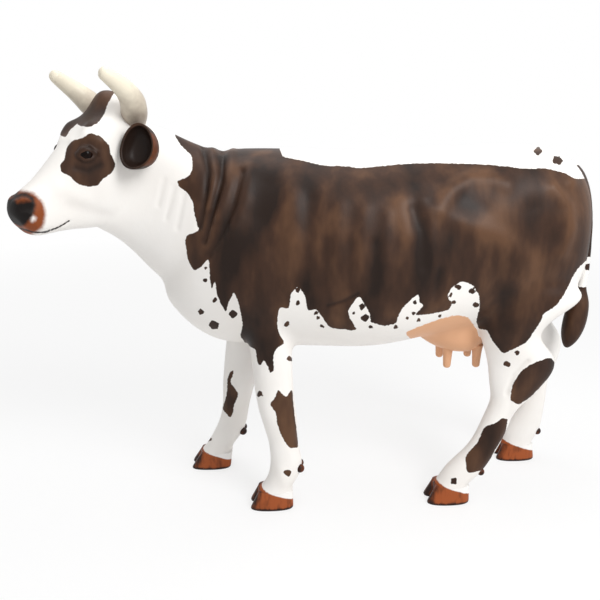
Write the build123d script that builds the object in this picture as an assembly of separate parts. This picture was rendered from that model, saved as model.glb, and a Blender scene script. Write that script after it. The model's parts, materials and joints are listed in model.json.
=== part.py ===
"""Life-size standing cow figure: a painted glass-fibre skin in several mouldings on a welded steel frame.

Millimetres. The soles stand on Z = 0, the nose points to -X and the animal's left side to -Y.
The body is laid out about its own median plane and moved to the origin when a piece is written.
"""

import os
from math import copysign, cos, pi, radians, sin

from build123d import *

os.makedirs("parts", exist_ok=True)

# Where the middle of the whole figure lies in the body's own layout
LAYOUT_X = 13.0
LAYOUT_Y = -21.0

# Glass-fibre skin
SKIN_WALL = 6.0
RING_POINTS = 16
BODY_POWER = 2.25
ROUND_POWER = 2.0

# Levels that the outlines hang from
BACK_HEIGHT = 1374.0
BELLY_HEIGHT = 629.0

# Trunk rings from brisket to buttock: x, top above back, bottom above belly, half width, widest above belly
TRUNK_RINGS = [
    (-592, -395, 225, 60, 275),
    (-556, -255, 150, 130, 280),
    (-488, -110, 80, 190, 305),
    (-390, -20, 25, 236, 335),
    (-270, 0, 8, 262, 345),
    (-120, -2, 2, 288, 330),
    (40, -8, 0, 318, 310),
    (200, -8, 2, 330, 305),
    (360, 0, 28, 318, 330),
    (500, 5, 52, 295, 375),
    (640, 10, 72, 280, 425),
    (780, 8, 100, 262, 435),
    (880, -12, 135, 232, 430),
    (960, -70, 175, 180, 420),
    (1000, -135, 240, 120, 415),
    (1018, -220, 320, 55, 410),
]

# Neck rings from shoulder to throat: x, y, height above back, turn to the left, climb, half width, rise, drop
NECK_RINGS = [
    (-390, 0, -240, 0, 14, 208, 235, 300),
    (-495, -2, -225, 2, 22, 178, 245, 278),
    (-598, -12, -165, 8, 27, 140, 225, 230),
    (-690, -38, -100, 20, 26, 118, 205, 216),
    (-765, -84, -60, 34, 20, 104, 165, 205),
]

# Head, in its own frame: along the face from the poll, to the animal's left, out of the forehead
POLL_X = -727.0
POLL_Y = -56.0
POLL_RISE = 167.0
HEAD_TURN = 43.0
FACE_SLOPE = 32.5
HEAD_RINGS = [
    (-32, -30, -260, 66, -110),
    (5, 18, -345, 104, -105),
    (70, 22, -375, 122, -90),
    (150, 14, -372, 128, -75),
    (235, 0, -352, 112, -85),
    (320, -20, -305, 86, -105),
    (400, -36, -246, 72, -112),
    (455, -40, -206, 74, -112),
    (505, -46, -184, 76, -112),
    (534, -72, -160, 54, -114),
]

# Horns, in the head's frame for the left side: along, left, out, radius
HORN_RINGS = [
    (22, 66, -72, 45),
    (18, 112, -34, 45),
    (18, 150, 12, 42),
    (28, 172, 60, 36),
    (44, 176, 103, 29),
    (60, 168, 135, 23),
    (68, 163, 148, 14),
]
HORN_STUD_DIAMETER = 16.0
HORN_STUD_GRIP = 75.0

# Ears, in the head's frame for the left side: along, left, out, half height, half thickness
EAR_RINGS = [
    (96, 92, -112, 30, 20),
    (98, 124, -116, 46, 30),
    (104, 156, -122, 70, 38),
    (110, 196, -130, 74, 36),
    (112, 230, -138, 54, 26),
    (110, 254, -144, 18, 10),
]
EAR_WALL = 9.0
EAR_CUP_SHIFT = 14.4
EAR_CUP_TIP = 3.0
EAR_SCREW_DIAMETER = 8.0
EAR_SCREW_GRIP = 40.0

# Eyes, in the head's frame for the left side
EYE_DIAMETER = 50.0
EYE_ALONG = 240.0
EYE_LEFT = 92.0
EYE_OUT = -48.0

# Legs from shoulder or hip to hoof: height, half length, half width, left leg x, right leg x
STANCE = 330.0
LEG_SPREAD_TOP = 310.0
FRONT_LEG_RINGS = [
    (985, 128, 66, -222, -238),
    (845, 110, 84, -206, -246),
    (705, 84, 78, -197, -272),
    (585, 76, 66, -190, -300),
    (480, 73, 60, -183, -316),
    (395, 69, 58, -170, -328),
    (320, 61, 50, -157, -339),
    (240, 58, 46, -146, -352),
    (180, 62, 50, -140, -370),
    (125, 60, 52, -152, -400),
]
HIND_LEG_RINGS = [
    (1015, 140, 62, 790, 795),
    (885, 160, 92, 762, 818),
    (765, 142, 94, 740, 840),
    (665, 116, 78, 722, 872),
    (570, 130, 60, 766, 926),
    (505, 112, 54, 758, 950),
    (450, 86, 50, 742, 962),
    (400, 61, 46, 713, 966),
    (320, 56, 43, 679, 965),
    (240, 60, 43, 646, 958),
    (180, 70, 48, 606, 944),
    (125, 76, 52, 564, 926),
]
HOOF_HEIGHT = 72.0
CORONET_HALF_LENGTH = 68.0
CORONET_HALF_WIDTH = 55.0
HOOF_HALF_LENGTH = 84.0
HOOF_HALF_WIDTH = 62.0
CLEFT_WIDTH = 8.0
CLEFT_DEPTH = 62.0
DEWCLAW_DIAMETER = 34.0
DEWCLAW_SPACING = 44.0
DEWCLAW_HEIGHT = {"front": 165.0, "hind": 130.0}
# How far back on the pastern the dewclaws sit, as a share of its half length
DEWCLAW_SEAT = 0.86
# Rings of a leg, counted from the top, where its tube bends
TUBE_BENDS = {"front": (8, 5, 2), "hind": (10, 7, 4)}
# Each foot: coronet x, sole x
FEET = {
    "front_left": (-182, -200),
    "front_right": (-432, -470),
    "hind_left": (520, 503),
    "hind_right": (906, 896),
}

# Udder rings from flank to floor: height above belly, x, half length, half width
UDDER_RINGS = [
    (150, 500, 200, 150),
    (70, 510, 168, 142),
    (15, 532, 138, 126),
    (-20, 552, 102, 100),
    (-40, 562, 52, 56),
]
TEAT_DIAMETER = 42.0
TEAT_TIP_DIAMETER = 30.0
TEAT_TIP_HEIGHT = 522.0
TEAT_X = (510.0, 618.0)
TEAT_SPACING = 110.0

# Tail: x, height below back, radius; the switch goes on from the dock's last ring
TAIL_RINGS = [
    (880, -62, 32),
    (978, -98, 31),
    (1024, -200, 27),
    (1046, -400, 24),
    (1048, -540, 22),
]
SWITCH_RINGS = [
    (1044, -615, 40),
    (1033, -700, 44),
    (1020, -765, 30),
    (1012, -800, 8),
]
TAIL_ROD_DIAMETER = 8.0

# Steel frame
TUBE_DIAMETER = 33.7
TUBE_WALL = 3.2
TUBE_BEND = 90.0
CROSS_TUBE_DIAMETER = 42.4
FRAME_HEIGHT = 975.0
FRAME_FRONT_X = -230.0
FRAME_HIND_X = 800.0
FRAME_SPREAD = 300.0
CROSS_TUBE_OVERHANG = 25.0
NECK_TUBE_KNEE = (-560.0, -10.0, 1215.0)

# Feet of the frame
SOLE_PLATE = (90.0, 70.0, 8.0)
SOCKET_DIAMETER = 22.0
SOCKET_BORE = 10.2
SOCKET_LENGTH = 45.0

# Inside the skin
FORMER_THICKNESS = 18.0
FORMER_X = {"front": -40.0, "hind": 470.0}
SEAM_STRIP_WIDTH = 80.0
SEAM_STRIP_THICKNESS = 3.0
POLL_BLOCK = (95.0, 150.0, 90.0)
POLL_BLOCK_ALONG = 60.0

SIDES = {"left": -1, "right": 1}
ROOM = 6000.0
UPWARD = (Align.CENTER, Align.CENTER, Align.MIN)


def power(value, exponent):
    """A signed power, for the corners of a superellipse."""
    return copysign(abs(value) ** exponent, value)


def ring(centre, side, up, half, rise, drop, bulge=BODY_POWER):
    """One closed smooth section, egg-shaped where rise and drop differ."""
    points = []
    for step in range(RING_POINTS):
        turn = 2 * pi * step / RING_POINTS
        across = half * power(sin(turn), 2 / bulge)
        height = (rise if cos(turn) >= 0 else drop) * power(cos(turn), 2 / bulge)
        points.append(centre + side * across + up * height)
    return Wire([Edge.make_spline(points, periodic=True)])


def upright_rings(stations, wall=0.0, bulge=BODY_POWER):
    """Sections across X from rows of x, top, bottom, half width and widest height, drawn in by a wall."""
    rings = []
    last = len(stations) - 1
    for place, (x, top, bottom, half, widest) in enumerate(stations):
        inset = wall if place == 0 else -wall if place == last else 0
        centre = Vector(x + inset, 0, widest)
        rise = top - widest - wall
        drop = widest - bottom - wall
        rings.append(ring(centre, Vector(0, 1, 0), Vector(0, 0, 1), half - wall, rise, drop, bulge))
    return rings


def level_rings(stations, wall=0.0, bulge=ROUND_POWER):
    """Sections across Z from rows of height, x, y, half length and half width, drawn in by a wall."""
    rings = []
    for z, x, y, half_x, half_y in stations:
        centre = Vector(x, y, z)
        reach = half_x - wall
        rings.append(ring(centre, Vector(0, 1, 0), Vector(-1, 0, 0), half_y - wall, reach, reach, bulge))
    return rings


def path_rings(points, sizes, up):
    """Sections square to a line of points, each with a half width and a half height."""
    rings = []
    for place, (centre, (half, height)) in enumerate(zip(points, sizes)):
        ahead = points[min(place + 1, len(points) - 1)]
        behind = points[max(place - 1, 0)]
        axis = (ahead - behind).normalized()
        side = axis.cross(up).normalized()
        rings.append(ring(centre, side, side.cross(axis), half, height, height, ROUND_POWER))
    return rings


def skin(rings):
    """A solid through its sections."""
    return Solid.make_loft(rings)


def tube_path(points):
    """Straight runs joined by bends of the frame's radius."""
    return FilletPolyline(*points, radius=TUBE_BEND)


def rod(path, radius):
    """A round bar along a path."""
    return sweep(Plane(path @ 0, z_dir=path % 0) * Circle(radius), path)


def straight_rod(start, end, radius):
    """A round bar between two points."""
    axis = end - start
    return Plane(start, z_dir=axis) * Cylinder(radius, axis.length, align=UPWARD)


def half_space(plane):
    """The room on the side that a plane's normal points to."""
    return plane * Box(ROOM, ROOM, ROOM, align=UPWARD)


def single(shape):
    """The largest solid of a cut, without crumbs."""
    return max(shape.solids(), key=lambda piece: piece.volume)


def write(name, shape):
    """Moves a piece from the body's layout to the figure's origin and writes it."""
    export_step(Pos(-LAYOUT_X, -LAYOUT_Y, 0) * shape, f"parts/{name}.step")


# Trunk
trunk_rows = [
    (x, BACK_HEIGHT + top, BELLY_HEIGHT + bottom, half, BELLY_HEIGHT + widest)
    for x, top, bottom, half, widest in TRUNK_RINGS
]
trunk = skin(upright_rings(trunk_rows))
trunk_hollow = skin(upright_rings(trunk_rows, SKIN_WALL))


# Neck
def neck_rings(wall):
    rings = []
    for x, y, rise_above_back, turn, climb, half, rise, drop in NECK_RINGS:
        left = Vector(sin(radians(turn)), -cos(radians(turn)), 0)
        level = Vector(-cos(radians(turn)), -sin(radians(turn)), 0)
        axis = level * cos(radians(climb)) + Vector(0, 0, 1) * sin(radians(climb))
        centre = Vector(x, y, BACK_HEIGHT + rise_above_back)
        rings.append(ring(centre, left, axis.cross(left), half - wall, rise - wall, drop - wall))
    return rings


neck = skin(neck_rings(0))
neck_hollow = skin(neck_rings(SKIN_WALL))

# Head
poll = Vector(POLL_X, POLL_Y, BACK_HEIGHT + POLL_RISE)
turned = Vector(-cos(radians(HEAD_TURN)), -sin(radians(HEAD_TURN)), 0)
face_axis = turned * cos(radians(FACE_SLOPE)) - Vector(0, 0, 1) * sin(radians(FACE_SLOPE))
forehead_axis = turned * sin(radians(FACE_SLOPE)) + Vector(0, 0, 1) * cos(radians(FACE_SLOPE))
head_frame = Plane(poll, x_dir=face_axis, z_dir=forehead_axis)
head = head_frame * skin(upright_rings(HEAD_RINGS))
head_hollow = head_frame * skin(upright_rings(HEAD_RINGS, SKIN_WALL))


def on_head(along, left, out):
    """A point given in the head's frame."""
    return head_frame.from_local_coords(Vector(along, left, out))


# Horns, ears and eyes, the left ones first
horns = {}
horn_studs = {}
ears = {}
ear_screws = {}
eyes = {}
for side, sign in SIDES.items():
    outward = -sign
    horn_line = [on_head(along, outward * left, out) for along, left, out, radius in HORN_RINGS]
    horn_sizes = [(radius, radius) for along, left, out, radius in HORN_RINGS]
    horns[side] = skin(path_rings(horn_line, horn_sizes, face_axis))
    horn_root = horn_line[1]
    horn_way = (horn_line[2] - horn_line[0]).normalized()
    horn_studs[side] = straight_rod(
        horn_root - horn_way * HORN_STUD_GRIP, horn_root + horn_way * HORN_STUD_GRIP, HORN_STUD_DIAMETER / 2
    )
    ear_line = [on_head(along, outward * left, out) for along, left, out, tall, thick in EAR_RINGS]
    ear_sizes = [(thick, tall) for along, left, out, tall, thick in EAR_RINGS]
    ear_body = skin(path_rings(ear_line, ear_sizes, forehead_axis))
    cup_line = [point + face_axis * EAR_CUP_SHIFT for point in ear_line[1:]]
    cup_sizes = [
        (max(thick - EAR_WALL / 2, EAR_CUP_TIP), max(tall - EAR_WALL, EAR_CUP_TIP))
        for thick, tall in ear_sizes[1:]
    ]
    ears[side] = ear_body - skin(path_rings(cup_line, cup_sizes, forehead_axis))
    ear_way = (ear_line[1] - ear_line[0]).normalized()
    ear_screws[side] = straight_rod(
        ear_line[1] - ear_way * EAR_SCREW_GRIP, ear_line[1] + ear_way * EAR_SCREW_GRIP, EAR_SCREW_DIAMETER / 2
    )
    eyes[side] = Pos(*on_head(EYE_ALONG, outward * EYE_LEFT, EYE_OUT)) * Sphere(EYE_DIAMETER / 2)

# Legs, hooves and what stands inside them
legs = {}
leg_hollows = {}
hooves = {}
dewclaws = {}
leg_tubes = {}
leg_bars = {}
sole_plates = {}
sockets = {}
frame_x = {"front": FRAME_FRONT_X, "hind": FRAME_HIND_X}
bar_radius = TUBE_DIAMETER / 2
cross_bars = {
    end: straight_rod(
        Vector(x, -FRAME_SPREAD / 2 - CROSS_TUBE_OVERHANG, FRAME_HEIGHT),
        Vector(x, FRAME_SPREAD / 2 + CROSS_TUBE_OVERHANG, FRAME_HEIGHT),
        CROSS_TUBE_DIAMETER / 2,
    )
    for end, x in frame_x.items()
}
for end, rows in {"front": FRONT_LEG_RINGS, "hind": HIND_LEG_RINGS}.items():
    for column, (side, sign) in enumerate(SIDES.items()):
        name = f"{end}_{side}"
        coronet_x, sole_x = FEET[name]
        foot_y = sign * STANCE / 2
        top_y = sign * LEG_SPREAD_TOP / 2
        top_height = rows[0][0]
        stations = []
        for row in rows:
            height, half_length, half_width = row[:3]
            share = (height - HOOF_HEIGHT) / (top_height - HOOF_HEIGHT)
            y = foot_y + share * (top_y - foot_y)
            stations.append((height, row[3 + column], y, half_length, half_width))
        stations.append((HOOF_HEIGHT, coronet_x, foot_y, CORONET_HALF_LENGTH, CORONET_HALF_WIDTH))
        legs[name] = skin(level_rings(stations))
        leg_hollows[name] = skin(level_rings(stations, SKIN_WALL))
        hoof_rows = [stations[-1], (0, sole_x, foot_y, HOOF_HALF_LENGTH, HOOF_HALF_WIDTH)]
        hooves[name] = skin(level_rings(hoof_rows, bulge=BODY_POWER))
        nearest = min(stations, key=lambda station: abs(station[0] - DEWCLAW_HEIGHT[end]))
        heel_x = nearest[1] + nearest[3] * DEWCLAW_SEAT
        dewclaws[name] = [
            Pos(heel_x, foot_y + offset, DEWCLAW_HEIGHT[end]) * Sphere(DEWCLAW_DIAMETER / 2)
            for offset in (-DEWCLAW_SPACING / 2, DEWCLAW_SPACING / 2)
        ]
        stand_x = coronet_x
        line = [Vector(stand_x, foot_y, SOLE_PLATE[2]), Vector(stand_x, foot_y, HOOF_HEIGHT)]
        for bend in TUBE_BENDS[end]:
            height, x, y = stations[bend][:3]
            line.append(Vector(x, y, height))
        line.append(Vector(frame_x[end], sign * FRAME_SPREAD / 2, FRAME_HEIGHT))
        path = tube_path(line)
        leg_bars[name] = rod(path, bar_radius)
        leg_tubes[name] = leg_bars[name] - rod(path, bar_radius - TUBE_WALL) - cross_bars[end]
        foot = Pos(stand_x, foot_y, 0)
        length, width, thickness = SOLE_PLATE
        plate = foot * Box(length, width, thickness, align=UPWARD)
        socket = foot * Cylinder(SOCKET_DIAMETER / 2, SOCKET_LENGTH, align=UPWARD)
        bore = foot * Cylinder(SOCKET_BORE / 2, SOCKET_LENGTH, align=UPWARD)
        sole_plates[name] = plate - socket
        sockets[name] = socket - bore
        toe = Pos(sole_x - HOOF_HALF_LENGTH, foot_y, 0)
        cleft = toe * Box(2 * CLEFT_DEPTH, CLEFT_WIDTH, 3 * HOOF_HEIGHT)
        hooves[name] = hooves[name] - leg_bars[name] - plate - cleft

# Udder and teats
udder_rows = [(BELLY_HEIGHT + rise, x, 0, half_x, half_y) for rise, x, half_x, half_y in UDDER_RINGS]
udder = skin(level_rings(udder_rows))
udder_hollow = skin(level_rings([(z + SKIN_WALL, x, y, hx, hy) for z, x, y, hx, hy in udder_rows], SKIN_WALL))
teats = []
teat_sizes = [
    (BELLY_HEIGHT, TEAT_DIAMETER / 2),
    (TEAT_TIP_HEIGHT + TEAT_TIP_DIAMETER / 2, TEAT_TIP_DIAMETER / 2),
    (TEAT_TIP_HEIGHT, TEAT_TIP_DIAMETER / 4),
]
for x in TEAT_X:
    for sign in SIDES.values():
        y = sign * TEAT_SPACING / 2
        rows = [(height, x, y, radius, radius) for height, radius in teat_sizes]
        teats.append(skin(level_rings(rows)) - udder)

# Tail
tail_rows = [*TAIL_RINGS, *SWITCH_RINGS]
tail_points = [Vector(x, 0, BACK_HEIGHT + rise) for x, rise, radius in tail_rows]
tail_sizes = [(radius, radius) for x, rise, radius in tail_rows]
tail_sections = path_rings(tail_points, tail_sizes, Vector(0, 1, 0))
switch_start = len(TAIL_RINGS) - 1
tail_bar = rod(FilletPolyline(*tail_points[:3], radius=TUBE_BEND), TAIL_ROD_DIAMETER / 2)
tail_dock = skin(tail_sections[: switch_start + 1]) - trunk - tail_bar
tail_switch = skin(tail_sections[switch_start:])

# Steel frame above the legs
spine_front = Vector(FRAME_FRONT_X, 0, FRAME_HEIGHT)
spine_hind = Vector(FRAME_HIND_X, 0, FRAME_HEIGHT)
spine_bar = straight_rod(spine_front, spine_hind, bar_radius)
spine_bore = straight_rod(spine_front, spine_hind, bar_radius - TUBE_WALL)
spine_tube = spine_bar - [spine_bore, *cross_bars.values()]
neck_end = on_head(POLL_BLOCK_ALONG, 0, -POLL_BLOCK[2] / 2)
neck_path = tube_path([spine_front, Vector(*NECK_TUBE_KNEE), neck_end])
neck_bar = rod(neck_path, bar_radius)
neck_tube = neck_bar - rod(neck_path, bar_radius - TUBE_WALL) - cross_bars["front"]
cross_tubes = {
    end: cross_bars[end]
    - straight_rod(
        Vector(x, -FRAME_SPREAD / 2 - CROSS_TUBE_OVERHANG, FRAME_HEIGHT),
        Vector(x, FRAME_SPREAD / 2 + CROSS_TUBE_OVERHANG, FRAME_HEIGHT),
        CROSS_TUBE_DIAMETER / 2 - TUBE_WALL,
    )
    for end, x in frame_x.items()
}

# Strip laminated over the trunk's seam, and plywood formers that carry the spine tube
strip_room = skin(upright_rings(trunk_rows, SKIN_WALL + SEAM_STRIP_THICKNESS))
strip_band = Pos(0, 0, BACK_HEIGHT / 2) * Box(ROOM, SEAM_STRIP_WIDTH, ROOM)
seam_strip = single((trunk_hollow & strip_band) - strip_room - neck_hollow - tail_bar)
formers = {}
for end, x in FORMER_X.items():
    slab = Pos(x, 0, FRAME_HEIGHT) * Box(FORMER_THICKNESS, ROOM, ROOM)
    formers[end] = single((trunk_hollow & slab) - seam_strip - spine_bar)

# Block behind the forehead that takes the neck tube, the horn studs and the ear screws
poll_room = head_frame * Pos(POLL_BLOCK_ALONG, 0, -POLL_BLOCK[2] / 2) * Box(*POLL_BLOCK)
poll_block = single((head_hollow & poll_room) - neck_bar)
fixings = [*horn_studs.values(), *ear_screws.values()]
poll_block = poll_block - fixings

# Skins cut to each other
trunk_skin = trunk - [trunk_hollow, neck_hollow, tail_bar, *leg_hollows.values()]
neck_skin = neck - [neck_hollow, trunk, head]
head_skin = head - [head_hollow, neck_hollow, *eyes.values(), *fixings]

for side, sign in SIDES.items():
    body_half = half_space(Plane(Vector(0, 0, 0), z_dir=Vector(0, sign, 0)))
    write(f"trunk_shell_{side}", single(trunk_skin & body_half))
    head_half = half_space(Plane(poll, z_dir=head_frame.y_dir * -sign))
    write(f"head_shell_{side}", single(head_skin & head_half))
    write(f"horn_{side}", single(horns[side] - head - horn_studs[side]))
    write(f"ear_{side}", single(ears[side] - [head, horns[side], ear_screws[side]]))
    write(f"eye_{side}", eyes[side])
    for end in ("front", "hind"):
        name = f"{end}_{side}"
        write(f"leg_{name}", single(single(legs[name] - trunk) - leg_hollows[name]))
        write(f"hoof_{name}", hooves[name])
        write(f"dewclaws_{name}", Compound([claw - legs[name] for claw in dewclaws[name]]))
        write(f"leg_tube_{name}", single(leg_tubes[name]))
        write(f"sole_plate_{name}", sole_plates[name])
        write(f"fixing_socket_{name}", sockets[name])
write("neck_shell", single(neck_skin))
write("horn_studs", Compound(list(horn_studs.values())))
write("ear_screws", Compound(list(ear_screws.values())))
write("udder_shell", single(udder - [udder_hollow, trunk, *legs.values()]))
write("teats", Compound([single(teat) for teat in teats]))
write("tail_dock", single(tail_dock))
write("tail_switch", tail_switch)
write("tail_rod", tail_bar)
write("spine_tube", single(spine_tube))
write("neck_tube", single(neck_tube))
for end in ("front", "hind"):
    write(f"cross_tube_{end}", cross_tubes[end])
    write(f"former_{end}", formers[end])
write("seam_strip", seam_strip)
write("poll_block", single(poll_block))
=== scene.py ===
"""Looks of a life-size painted cow figure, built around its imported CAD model."""

import json
import math

import bmesh
import bpy
import numpy as np
from mathutils import Euler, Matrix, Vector
from mathutils.bvhtree import BVHTree


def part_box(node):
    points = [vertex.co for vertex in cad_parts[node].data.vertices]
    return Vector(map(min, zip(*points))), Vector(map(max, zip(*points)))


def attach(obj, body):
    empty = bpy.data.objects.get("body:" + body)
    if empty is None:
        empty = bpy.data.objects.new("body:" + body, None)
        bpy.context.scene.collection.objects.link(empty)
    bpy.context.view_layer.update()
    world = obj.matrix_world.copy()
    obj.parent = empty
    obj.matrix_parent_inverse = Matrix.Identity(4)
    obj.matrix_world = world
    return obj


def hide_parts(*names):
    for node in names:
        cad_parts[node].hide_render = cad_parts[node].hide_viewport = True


bl_info = {
    "name": "Painted cow figure",
    "version": (1, 0, 0),
    "blender": (4, 5, 0),
    "location": "3D View > Sidebar > Cow",
    "description": "Skin, paint, horns, hooves and stage of a life-size glass-fibre cow",
    "category": "Object",
}

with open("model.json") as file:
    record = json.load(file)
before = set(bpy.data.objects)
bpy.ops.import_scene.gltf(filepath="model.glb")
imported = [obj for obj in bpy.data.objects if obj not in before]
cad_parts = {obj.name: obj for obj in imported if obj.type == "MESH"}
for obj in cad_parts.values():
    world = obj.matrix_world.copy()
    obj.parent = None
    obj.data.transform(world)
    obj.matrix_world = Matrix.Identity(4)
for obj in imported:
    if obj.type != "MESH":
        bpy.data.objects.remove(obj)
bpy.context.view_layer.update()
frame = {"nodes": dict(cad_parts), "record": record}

# The trunk's median plane and the head's own frame, as the CAD model has them
MEDIAN_Y = 0.021
POLL = Vector((-0.740, -0.035, 1.541))
HEAD_TURN = math.radians(43.0)
FACE_SLOPE = math.radians(32.5)
HOOF_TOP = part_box("hoof_front_left")[1].z

# The photograph's viewpoint, from the fit of hooves, back and head
EYE_POINT = Vector((-0.233, -2.5355, 1.524))
VIEW_YAW = math.radians(3.21)
VIEW_PITCH = math.radians(15.91)
PHOTO_SIDE = 600
PHOTO_FOCAL = 680.0
SENSOR = 36.0

LEGS = ("front_left", "front_right", "hind_left", "hind_right")
SKIN_GROUPS = {
    "trunk_shell_left": "trunk",
    "trunk_shell_right": "trunk",
    "neck_shell": "neck",
    "head_shell_left": "head",
    "head_shell_right": "head",
    "udder_shell": "udder",
    "tail_dock": "tail",
    "tail_switch": "switch",
    **{f"leg_{leg}": f"leg_{leg}" for leg in LEGS},
}
CUT_AWAY = ("horn_studs", "ear_screws")
FILLERS = (
    *CUT_AWAY,
    "eye_left",
    "eye_right",
    *(f"hoof_{leg}" for leg in LEGS),
    *(f"sole_plate_{leg}" for leg in LEGS),
)

# Paint outlines, as pixels of the 600 x 600 photograph
FLANK_PATCH = (
    (174, 135), (183, 148), (192, 156), (192.5, 170), (188, 177), (177, 181), (179, 187), (188, 193), (193, 203),
    (195, 218), (199.5, 231), (187, 235), (185, 242), (188, 261), (194, 271), (201, 267), (209, 258), (210, 282),
    (212, 289), (215, 280), (217, 296), (226, 313), (228, 304), (234, 291), (239, 304), (243, 325), (240, 336),
    (246, 344), (256, 350), (257, 361), (260, 366), (264, 360), (268, 367), (270, 373), (274, 371), (273, 357),
    (276, 349), (285, 343), (279, 334), (277, 324), (279, 307), (289, 309), (291, 293), (298.5, 286), (305, 296),
    (308, 311), (317, 309), (324, 320), (330, 328), (358, 331), (349, 317), (348, 310), (359, 295), (367, 308),
    (371, 317), (370, 322), (383, 326), (396, 324), (398, 316), (404, 306), (419, 293), (419, 302), (424, 305),
    (415, 315), (426, 315), (449, 310), (452, 303), (447, 297), (452, 287), (462, 281), (473, 285), (479, 295),
    (480, 306), (476, 321), (479, 329), (487, 330), (493, 342), (503, 354), (514, 349), (527, 342), (535, 330),
    (541, 321), (543, 314), (556, 306), (564, 295), (576, 270), (600, 248), (600, 178), (575, 179), (565, 173),
    (546, 168), (525, 169), (503, 166), (478, 164), (433, 163), (400, 164), (382, 166), (360, 168), (345, 166),
    (325, 166), (300, 160), (283, 157), (280, 150), (278, 140), (240, 138), (200, 130), (180, 120),
)
FLANK_SPOTS = (
    (538, 151, 4), (557.5, 160.5, 5), (458, 287, 3), (472, 291, 3.2), (476, 305, 3), (451, 295, 2), (454, 302, 2),
    (298, 290, 2.6), (298, 303, 2.4), (287, 324, 3), (316, 313, 2.4), (318, 318, 2), (322, 326, 2), (362, 307, 3),
    (365, 318, 4), (354, 313, 2), (415, 302, 2), (413, 313, 2), (407, 318, 2), (419, 320, 2), (440, 316, 1.8),
    (396, 327, 2), (371, 327, 2), (517, 353, 2.4), (507, 364, 3), (554, 312, 2), (545, 322, 2), (201, 312, 3),
    (214, 325, 5), (233, 314, 4), (215, 300, 2.6), (205, 268, 1.8), (205, 280, 2),
)
FRONT_LEFT_PATCH = (
    (278, 389), (286, 398), (292, 388), (294, 410), (299, 448), (289, 448), (282, 437), (277, 424), (276, 413),
    (269.5, 404), (275, 398),
)
FRONT_LEFT_SPOTS = ((260, 394, 3), (290, 359, 3), (287.5, 473, 3.6), (306.5, 464, 4))
FRONT_RIGHT_PATCH = (
    (234, 370), (233, 375), (230, 382), (239, 394), (234, 405), (233, 413), (230, 418), (222, 409), (226, 397),
    (227.5, 388), (227, 380), (230, 372),
)
FRONT_RIGHT_SPOTS = ((208, 438.5, 3.4), (245, 437, 3.6))
HOCK_PATCH = (
    (531, 364), (550, 357), (557, 364), (553, 373), (531, 397), (518, 405), (510, 400), (512, 386), (520, 372),
)
CANNON_PATCH = (
    (502, 418), (508, 419), (505, 435), (494, 451), (487, 469), (467, 474), (465, 456), (478, 442), (484, 427),
    (496, 423),
)
HIND_LEFT_SPOTS = ((454, 481, 3.4), (491, 478, 3.4), (507, 364, 3.4), (517, 353, 2.4))
HIND_RIGHT_SPOTS = ((543.5, 430, 3.4),)
EYE_PATCH = (
    (90, 133), (100, 136), (109, 145), (110, 152), (116, 166), (111, 174), (104, 178), (98, 185), (90, 187),
    (77, 184), (70, 176), (61, 172), (60, 165), (64.5, 159), (67, 147), (73, 140), (83, 138),
)
POLL_PATCH = (
    (80, 126), (74, 122), (74, 110), (82, 98), (96, 86), (120, 84), (108, 103), (105, 113), (98, 123), (90, 127),
)
FAR_EYE_PATCH = ((56, 132), (66, 118), (78, 114), (81, 121), (76, 125), (70, 130), (65, 138))
NOSE_LIGHT = ((33, 215), (36, 219), (32, 222), (30, 219))
# A painted highlight along the top of the nose, where the black opens onto the rust beneath
NOSE_TOP_HIGHLIGHT = ((15, 200), (22, 196.5), (28, 197.5), (31, 201.5), (24, 201.5), (18, 203.5))
NOSE_PATCH = ((0, 200), (14, 194), (26, 192), (34, 197), (36, 206), (33, 216), (24, 226), (10, 228), (0, 220))
RUST_PATCH = ((0, 190), (20, 190), (34, 193), (43, 202), (46, 214), (43, 228), (30, 236), (10, 236), (0, 225))
MOUTH_LINE = ((14, 226), (22, 229), (35, 232.5), (46, 232), (59, 227), (69, 221))
TAIL_UPPER_PATCH = ((570, 165), (600, 165), (600, 257), (584, 257), (576, 240))
TAIL_SPOTS = ((588, 267, 3.5),)
UDDER_PATCH = (
    (404, 333), (420, 326), (440, 319), (456, 315), (468, 317), (475, 327), (481, 340), (488, 352), (488, 376),
    (428, 376), (422, 348),
)
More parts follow.
